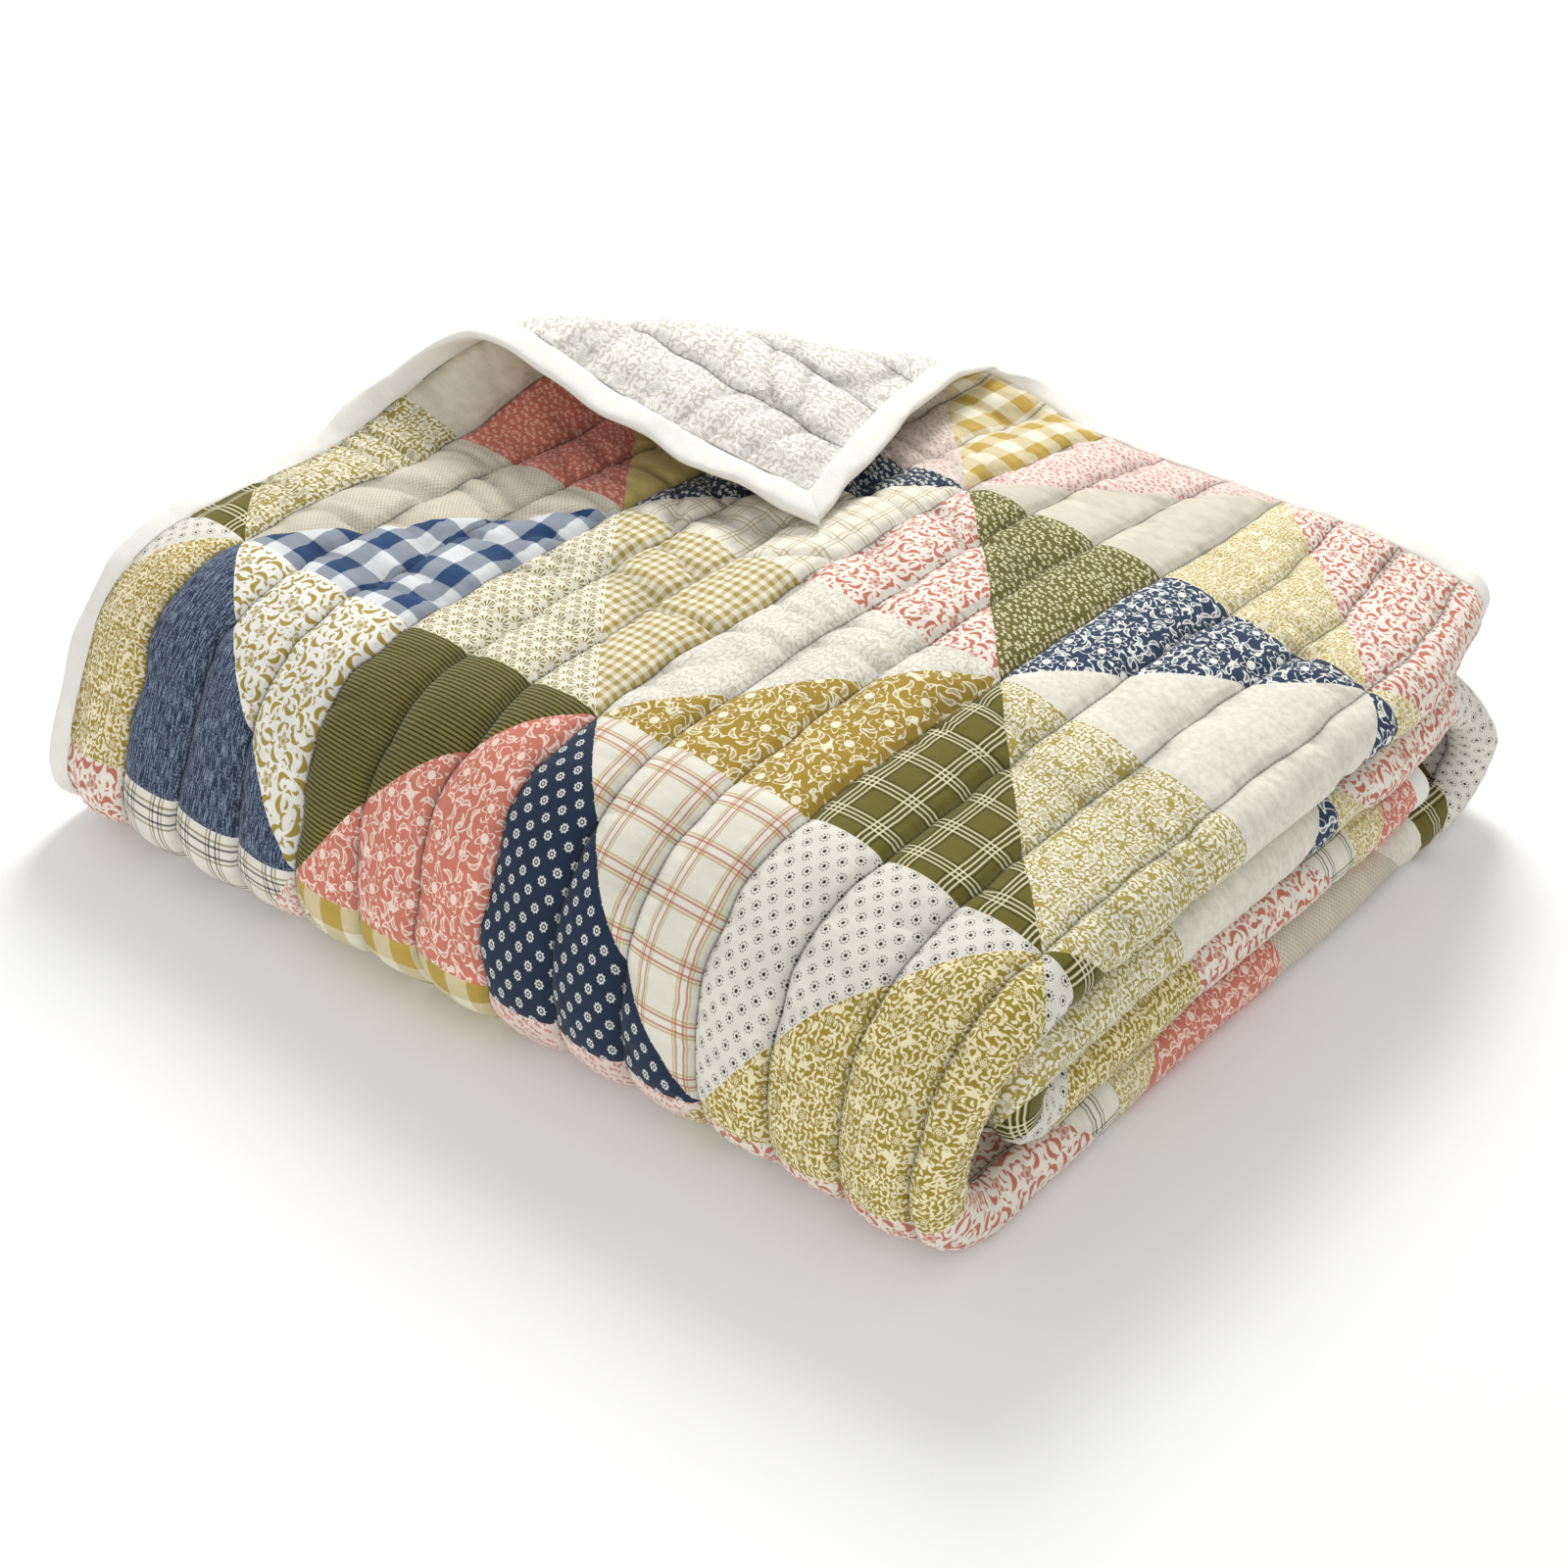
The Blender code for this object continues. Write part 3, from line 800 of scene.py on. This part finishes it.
# %% The maker's list of fabrics
FABRICS = {
    "mustard_vine": (vines, (164, 142, 58), (240, 230, 198), {"pitch": 8.0}),
    "gold_branch": (vines, (156, 136, 50), (238, 228, 188), {"pitch": 10.0}),
    "gold_vine": (vines, (236, 231, 212), (168, 152, 74), {"pitch": 8.0, "length": 1.6, "width": 0.5}),
    "gold_leaf": (vines, (232, 226, 206), (156, 140, 62), {"pitch": 8.0, "length": 1.9, "width": 0.7}),
    "gold_leaves": (leafy, (238, 235, 226), (168, 146, 68), {"pitch": 11.0, "length": 4.3, "width": 1.5}),
    "gold_floral": (floral, (164, 136, 48), (240, 230, 200), {"pitch": 27.0, "size": 7.4}),
    "gold_ditsy": (vines, (186, 168, 96), (238, 231, 204), {"pitch": 7.0, "length": 1.4, "width": 0.42}),
    "gold_gingham": (gingham, (234, 228, 206), (170, 150, 74), {"pitch": 7.0}),
    "gold_check": (gingham, (234, 228, 204), (186, 158, 72), {"pitch": 30.0}),
    "blue_gingham": (gingham, (216, 220, 220), (28, 64, 104), {"pitch": 31.5, "single": 0.62}),
    "ochre": (clouds, (196, 176, 112), (180, 160, 92), {}),
    "beige": (clouds, (214, 206, 188), (202, 192, 172), {}),
    "cream_mottle": (clouds, (232, 228, 214), (206, 200, 184), {"size": 4.0}),
    "off_white": (vines, (232, 228, 215), (208, 202, 186), {"pitch": 11.0, "length": 2.2}),
    "tan_plain": (clouds, (212, 204, 186), (200, 191, 171), {}),
    "tan_lattice": (lattice, (222, 214, 196), (180, 170, 148), {}),
    "tan_pane": (plaid, (234, 228, 212), (186, 172, 138), {"pitch": 15.0, "places": (-1.5, 1.5)}),
    "dusty_pink": (ditsy, (222, 208, 198), (198, 172, 158), {"pitch": 6.0}),
    "pink_ditsy": (ditsy, (230, 214, 204), (200, 138, 126), {"pitch": 5.6, "size": 1.5}),
    "pink_floral": (leafy, (234, 226, 214), (190, 114, 92), {"pitch": 10.4, "length": 4.0, "width": 1.45}),
    "pale_floral": (leafy, (236, 228, 214), (206, 146, 128), {"pitch": 7.0, "length": 2.6, "width": 0.9}),
    "coral_floral": (floral, (204, 124, 106), (244, 218, 202), {"pitch": 25.0, "size": 6.0}),
    "coral_ditsy": (ditsy, (192, 110, 92), (226, 172, 154), {"pitch": 5.2, "size": 1.5}),
    "white_dots": (dot_rings, (226, 222, 210), (40, 38, 24), {}),
    "navy_dots": (dot_flowers, (30, 46, 68), (222, 224, 218), {}),
    "navy_floral": (floral, (38, 58, 84), (240, 240, 230), {"pitch": 23.0, "size": 6.6}),
    "navy_ditsy": (ditsy, (32, 46, 68), (206, 206, 194), {"pitch": 6.0, "size": 1.8}),
    "denim": (chambray, (34, 49, 71), (136, 151, 172), {}),
    "olive_stripe": (stripes, (124, 114, 58), (36, 32, 10), {}),
    "olive_plaid": (plaid, (104, 96, 34), [(230, 220, 182), (50, 46, 14)],
                    {"pitch": 28.0, "places": (-3.2, 0.0, 3.2), "width": 1.1,
                     "beside": (-1.6, 1.6, 5.0, -5.0)}),
    "olive_ditsy": (ditsy, (104, 96, 40), (218, 212, 172), {"pitch": 4.7, "size": 1.25}),
    "red_pane": (plaid, (228, 224, 210), [(184, 116, 92), (190, 172, 104)],
                 {"pitch": 27.0, "places": (-1.9, 2.3), "width": 1.1, "beside": (-3.6, 4.0)}),
    "black_plaid": (plaid, (230, 226, 214), [(44, 46, 40), (126, 118, 60)],
                    {"pitch": 26.0, "places": (-2.4, 2.4), "width": 1.1, "beside": (-5.0, 5.0)}),
    "fan_print": (fans, (234, 228, 208), (140, 126, 56), {}),
}


def linear(colour):
    """A screen colour, 0 to 255, as the shader's linear colour."""
    shares = [c / 255 for c in colour]
    return (*[c / 12.92 if c <= 0.04045 else ((c + 0.055) / 1.055) ** 2.4 for c in shares], 1.0)


# %% [markdown]
# Cotton is never one flat colour. Every fabric gets a plain weave, a faint cloudiness from
# washing, thread-sized specks, the row of thread and holes that a quilting line leaves, and
# low pleats beside it. A stored attribute paints shade into stitched lines and creases, the
# line and its holes get painted shade, and the pleats painted light and shade. The weave, the pleats and
# the threads also go into the bump.

# %% Cotton finish
THREAD = 0.55           # width of a woven thread, in millimetres, as all sizes here
STITCH = 3.4            # from one stitch to the next
PLEAT_REACH = 40        # the pleats fade with the distance from the stitched line
PLEAT_SHAPE = (0.045, 0.15, 1.0)


def cotton(name, printer, ground, ink, sizes, stitched=True):
    """A cotton fabric with its print, weave, stitches, painted shade in its hollows and soft sheen."""
    recipe = Recipe(name)
    across, along, vector = recipe.place()
    shares = printer(recipe, across, along, vector, **sizes)
    shares, inks = (shares, ink) if isinstance(shares, tuple) else ((shares,), (ink,))
    colour = linear(ground)
    for share, one_ink in reversed(list(zip(shares, inks))):
        share = share.math("MAXIMUM", 0.0).math("MINIMUM", 1.0)
        colour = recipe.mix(share, colour, linear(one_ink))
    wash = recipe.noise(vector, 34.0, 3.0)
    speck = recipe.noise(vector, 0.7, 1.0)
    shade = 0.78 + wash * 0.22 + speck * 0.22
    # Painted shade: the colour is darkened in stitched lines and creases, by the depth stored on the
    # points.
    hollow_shade = recipe.number("ShaderNodeAttribute", {"attribute_name": "hollow_shade"}, {}, "Fac")
    shade = shade * (1 - hollow_shade * 0.42)
    weave = (across * (math.pi / THREAD)).math("SINE") * (along * (math.pi / THREAD)).math("SINE")
    height = weave * 0.06 + recipe.noise(vector, 2.6, 3.0) * 0.35 + recipe.noise(vector, 11.0, 2.0) * 1.6
    if stitched:
        line = across.centred(1000 * PATCH * CHANNEL)
        near = 1000 * PATCH * CHANNEL / 2 - line.math("ABSOLUTE")
        pleats = recipe.node("ShaderNodeVectorMath", {"operation": "MULTIPLY"},
                             {0: vector, 1: PLEAT_SHAPE})
        pleat = (recipe.noise(pleats.outputs[0], 1.0, 2.0) - 0.5) * (1 - near / PLEAT_REACH)
        height = height + pleat * 6.0
        # Painted light and shade: the colour is lighter on the pleats' crests and darker in their troughs.
        shade = shade * (1 + pleat * 0.45)
        thread = near.below(0.55, 0.3) * bands(along, STITCH, (0,), 2.3, 0.5)
        hole = near.below(0.7, 0.4) * (1 - bands(along, STITCH, (0,), 2.7, 0.4))
        # Painted shade: a dark line along the stitched ditch, and darker needle holes between the
        # stitches.
        shade = shade * (1 - near.below(0.7, 0.8) * 0.42) * (1 - hole * 0.4)
        height = height + thread * 0.6 - hole * 0.6
    tone = recipe.node("ShaderNodeCombineColor", {}, (shade, shade, shade))
    painted = recipe.node("ShaderNodeMix", {"data_type": "RGBA", "blend_type": "MULTIPLY"},
                          {0: 1.0, 6: colour, 7: tone.outputs[0]})
    bump = recipe.node("ShaderNodeBump", {}, {"Strength": 0.5, "Distance": 0.0005, "Height": height})
    recipe.feed(recipe.shader.inputs["Base Color"], painted.outputs[2])
    recipe.feed(recipe.shader.inputs["Normal"], bump.outputs[0])
    recipe.shader.inputs["Roughness"].default_value = 0.88
    recipe.shader.inputs["Sheen Weight"].default_value = 0.12
    recipe.shader.inputs["Sheen Roughness"].default_value = 0.5
    recipe.shader.inputs["Specular IOR Level"].default_value = 0.25
    return recipe.material


FINISH = {name: cotton(name, *spec) for name, spec in FABRICS.items()}
print(len(FINISH), "fabrics")

# %% [markdown]
# ## Which fabric goes where
# The patchwork is a square grid whose squares are halved by a seam aslant, so that eight
# triangles meet at every second crossing. The table says it row by row: for each square, the
# fabric below its slanting seam and the one above it. Rows repeat every eight patches, and
# past the right-hand fold the columns come back in the opposite order.

# %% The patchwork's plan
PLAN = {
    2: "mustard_vine beige|ochre beige|dusty_pink gold_check|"
       "tan_plain pink_ditsy|gold_ditsy pink_floral",
    1: "beige pink_floral|coral_ditsy ochre|tan_pane navy_ditsy|"
       "pink_floral olive_ditsy|cream_mottle navy_floral",
    0: "olive_plaid gold_leaf|blue_gingham tan_lattice|fan_print gold_gingham|"
       "gold_floral off_white|olive_plaid gold_vine",
    -1: "mustard_vine white_dots|denim gold_leaves|coral_floral olive_stripe|"
        "navy_dots red_pane|gold_branch white_dots",
    6: "white_dots pink_floral|pale_floral black_plaid|gold_vine gold_check|"
       "mustard_vine pink_ditsy|black_plaid pink_floral",
    5: "tan_pane olive_ditsy|navy_dots pale_floral|coral_ditsy cream_mottle|"
       "blue_gingham gold_leaf|coral_floral gold_ditsy",
    4: "denim gold_vine|olive_plaid fan_print|navy_floral tan_lattice|"
       "pink_floral gold_floral|cream_mottle tan_lattice",
    3: "gold_leaf coral_ditsy|tan_plain denim|mustard_vine white_dots|"
       "olive_stripe pale_floral|white_dots olive_plaid",
}
PLAN = {row: [pair.split() for pair in text.split("|")] for row, text in PLAN.items()}
NAMES = sorted(FABRICS)


MIRROR_I = 4            # the columns come back in the opposite order from here
REPEAT = 8              # patches until the plan starts again


def fabric_at(i, j):
    """The fabric's number in the list of names, for each place in patches."""
    i = np.where(i > MIRROR_I, np.abs((i - MIRROR_I) % REPEAT - MIRROR_I), i)
    j = (j + 1) % REPEAT - 1
    a, b = np.floor(i).astype(int), np.floor(j).astype(int)
    u, v = i - a, j - b
    above = np.where((a + b) % 2 == 0, v > u, u + v > 1).astype(int)
    chosen = [NAMES.index(PLAN[y][x + 1][z]) for x, y, z in zip(np.clip(a, -1, 3), b, above)]
    return np.array(chosen, dtype=np.int32)


def sew_patchwork(cloth):
    """Gives every face of a flat patchwork its fabric."""
    for name in NAMES:
        cloth.data.materials.append(FINISH[name])
    centres = np.empty(len(cloth.data.polygons) * 3, dtype=np.float32)
    cloth.data.polygons.foreach_get("center", centres)
    centres = centres.reshape(-1, 3)
    cloth.data.polygons.foreach_set("material_index", fabric_at(centres[:, 0], centres[:, 1]))
    print(cloth.name, len(cloth.data.polygons), "faces")


# %% [markdown]
# ## The patchwork face
# The part that shows is made of cells of 3.3 mm, fine enough for its creases. The rest of
# the same cloth, which goes on under the stack and into its roll, is coarser.

# %% Make the patchwork
ROUNDING = 1e-6
SLIVER = 0.2            # an end cell narrower than this share of a cell is left out
LINE_SHADE_REACH = 0.0032


def lines(start, end, cells):
    """Grid lines between two places, with a number of cells for each patch, on whole cells."""
    first = math.ceil(start * cells - ROUNDING)
    last = math.floor(end * cells + ROUNDING)
    whole = np.arange(first, last + 1) / cells
    head = [start] if whole[0] - start > SLIVER / cells else []
    tail = [end] if end - whole[-1] > SLIVER / cells else []
    return np.array([*head, *whole, *tail])


def shade_hollows(cloth, i, j, seed):
    """Stores how deep each point lies in a stitched line or a crease, for the painted shade that the
    finish puts there.
    """
    phase = (i / CHANNEL) % 1
    stitch_line = np.exp(-(np.minimum(phase, 1 - phase) * CHANNEL * PATCH / LINE_SHADE_REACH) ** 2)
    wrinkle = np.clip(creases(i, j, seed), 0, 1)
    deep = np.clip(0.75 * stitch_line + 0.9 * wrinkle, 0, 1)
    hollow_shade = cloth.data.attributes.new("hollow_shade", "FLOAT", "POINT")
    hollow_shade.data.foreach_set("value", deep.astype(np.float32))


def finish_cloth(cloth, face, seed):
    """Folds a flat cloth on its face of the quilt, 1 for the patchwork and -1 for the backing."""
    flat = points_of(cloth)
    i, j = flat[:, 0], flat[:, 1]
    height = face * half_thickness(i, j, seed) + billow(i, j)
    move_points(cloth, fold(draw_in(i, j), slide(i, j), height))
    shade_hollows(cloth, i, j, seed)
    if face < 0:
        cloth.data.flip_normals()
    cloth.data.polygons.foreach_set("use_smooth", [True] * len(cloth.data.polygons))
    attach(cloth, "root")


FOLD_ROW = -1.5         # where the fine cloth ends, under the front
LOW_J = LAST_J + EDGE
FINE, MEDIUM, COARSE = 48, 24, 12
TURN_LINES = 9          # grid lines round a tight turn
top = flat_grid("patchwork_top", lines(FIRST_I, LAYER_TWO, FINE), lines(FOLD_ROW, FIRST_J, FINE))
under = flat_grid("patchwork_under", lines(FIRST_I, LAYER_TWO, MEDIUM), lines(LOW_J, FOLD_ROW, MEDIUM))
left_turn = np.linspace(LEFT_FOLD, LAYER_THREE, TURN_LINES)
inner_columns = np.unique(np.r_[lines(LAYER_TWO, LAST_I, COARSE), left_turn])
inner = flat_grid("patchwork_inner", inner_columns, lines(LOW_J, FIRST_J, COARSE))
for cloth in (top, under, inner):
    cut_slanting_seams(cloth)
    lay_out(cloth)
    sew_patchwork(cloth)
    finish_cloth(cloth, 1, 1)

# %% [markdown]
# ## The backing
# One wide cloth, off-white with a grey-brown scroll print. It shows on the turned corner and,
# narrowly, between the layers. The quilting lines come through it, so it puffs as well.

# %% Make the backing
FINISH["backing"] = cotton("backing", vines, (232, 230, 222), (200, 195, 182),
                           {"pitch": 11.0, "length": 2.4, "width": 0.8})
CORNER_I = 3 + CHANNEL
corner = flat_grid("backing_corner", lines(FIRST_I, CORNER_I, FINE), lines(0.0, FIRST_J, FINE))
right_turn = np.linspace(SPINE_I, LAYER_TWO, TURN_LINES)
back_columns = np.unique(np.r_[lines(FIRST_I, LAST_I, COARSE), right_turn, left_turn])
rest = flat_grid("backing_rest", back_columns, lines(LOW_J, FIRST_J, COARSE))


def leave_out_corner(cloth):
    """Removes the faces where the finer corner cloth lies."""
    bm = bmesh.new()
    bm.from_mesh(cloth.data)
    middles = [(face, face.calc_center_median()) for face in bm.faces]
    covered = [face for face, middle in middles if middle.x < CORNER_I and middle.y > 0]
    bmesh.ops.delete(bm, geom=covered, context="FACES")
    bm.to_mesh(cloth.data)
    bm.free()


leave_out_corner(rest)
for cloth in (corner, rest):
    lay_out(cloth)
    cloth.data.materials.append(FINISH["backing"])
    finish_cloth(cloth, -1, 5)

# %% [markdown]
# ## The binding
# A strip of plain cotton is folded over the raw edge and sewn down on both faces. It could
# be a curve with a bevel, but it has to follow the folds, so it is a grid too: one direction
# goes once round the quilt and the other once round the strip's own section. Its doubles are
# merged into a closed tube.

# %% Make the binding
BIND_HALF = 0.0043      # half its thickness
BIND_STEP = 0.005       # length of a cell
SECTION = 14            # cells round its section
PUCKER_LENGTH = 0.012
WAVE_LENGTH = 0.034
WAVE_HEIGHT, WAVE_REACH = 0.0030, 0.0044
LAPPED = 0.0018         # how far it reaches in over the cloth
DRAWN_IN = 0.0008
SECTION_CELL = 0.02     # width of a cell of the strip laid flat, in patches


def rim_route():
    """Places round the quilt's stitched edge and the way out of each, in patches."""
    corners = [(FIRST_I, FIRST_J), (FIRST_I, LOW_J), (LAST_I, LOW_J), (LAST_I, FIRST_J)]
    outward = [(-1, 0), (0, -1), (1, 0), (0, 1)]
    route = []
    for k, (start, out) in enumerate(zip(corners, outward)):
        end = corners[(k + 1) % 4]
        before = outward[k - 1]
        steps = round(math.dist(start, end) * PATCH / BIND_STEP)
        route.append((*start, out[0] + before[0], out[1] + before[1]))
        for n in range(1, steps):
            t = n / steps
            route.append((start[0] + (end[0] - start[0]) * t, start[1] + (end[1] - start[1]) * t, *out))
    route.append(route[0])
    return np.array(route)


route = rim_route()
angles = np.linspace(0, 2 * math.pi, SECTION + 1)
binding = flat_grid("binding_strip", np.arange(SECTION + 1.0), np.arange(float(len(route))))
spot = points_of(binding)
turn = angles[np.rint(spot[:, 0]).astype(int)]
at = route[np.rint(spot[:, 1]).astype(int)]
pucker = drift(spot[:, 1] * BIND_STEP / PUCKER_LENGTH, turn * 0.6, 31)
wave = drift(spot[:, 1] * BIND_STEP / WAVE_LENGTH, 0.0, 33)
broad = BINDING_WIDTH / 2 + SEAM_GAP
reach = np.sign(np.cos(turn)) * np.abs(np.cos(turn)) ** 0.6 * broad + broad - LAPPED
thick = np.sign(np.sin(turn)) * np.abs(np.sin(turn)) ** 0.75 * BIND_HALF
outside = np.clip(reach / broad, 0, 1)
thick = thick * (1 + 0.30 * pucker) + WAVE_HEIGHT * wave * outside
sway = drift(spot[:, 1] * BIND_STEP / WAVE_LENGTH, 0.0, 32)
reach = reach + (WAVE_REACH * sway - DRAWN_IN) * outside
bi = at[:, 0] + at[:, 2] * reach / PATCH
bj = at[:, 1] + at[:, 3] * reach / PATCH
laid_flat = [spot[:, 1] * BIND_STEP / PATCH, spot[:, 0] * SECTION_CELL, 0 * turn]
move_points(binding, np.stack(laid_flat, axis=-1))
lay_out(binding)
move_points(binding, fold(bi, slide(bi, bj), thick + billow(bi, bj)))


MERGE = 0.000001


def close_tube(obj):
    """Merges the doubles of a rolled-up grid and turns its faces outwards."""
    bpy.ops.object.select_all(action="DESELECT")
    obj.select_set(True)
    bpy.context.view_layer.objects.active = obj
    bpy.ops.object.mode_set(mode="EDIT")
    bpy.ops.mesh.select_all(action="SELECT")
    bpy.ops.mesh.remove_doubles(threshold=MERGE)
    bpy.ops.mesh.normals_make_consistent(inside=False)
    bpy.ops.object.mode_set(mode="OBJECT")
    obj.data.polygons.foreach_set("use_smooth", [True] * len(obj.data.polygons))


close_tube(binding)
FINISH["binding"] = cotton("binding", clouds, (236, 234, 226), (228, 225, 216), {}, stitched=False)
binding.data.materials.append(FINISH["binding"])
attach(binding, "root")
print("binding", len(binding.data.polygons), "faces")

# %% [markdown]
# ## Hide the solids
# The pieces stand for the two solids, whose parts are hidden. The size of each cloth laid flat
# is worked out, but nothing takes it.

def flat_size(i0, i1, j0, j1):
    """Width and length of a piece of the flat quilt, in metres."""
    return ((i1 - i0) * PATCH, (j1 - j0) * PATCH)


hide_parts("quilt")
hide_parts("binding")
flat_size(FIRST_I, LAYER_TWO, FOLD_ROW, FIRST_J)
flat_size(FIRST_I, LAYER_TWO, LOW_J, FOLD_ROW)
flat_size(LAYER_TWO, LAST_I, LOW_J, FIRST_J)
flat_size(FIRST_I, CORNER_I, 0.0, FIRST_J)
rest_area = (LAST_I - FIRST_I) * (FIRST_J - LOW_J) - (CORNER_I - FIRST_I) * FIRST_J
flat_size(FIRST_I, LAST_I, LOW_J, FIRST_J)
rest_area * PATCH ** 2
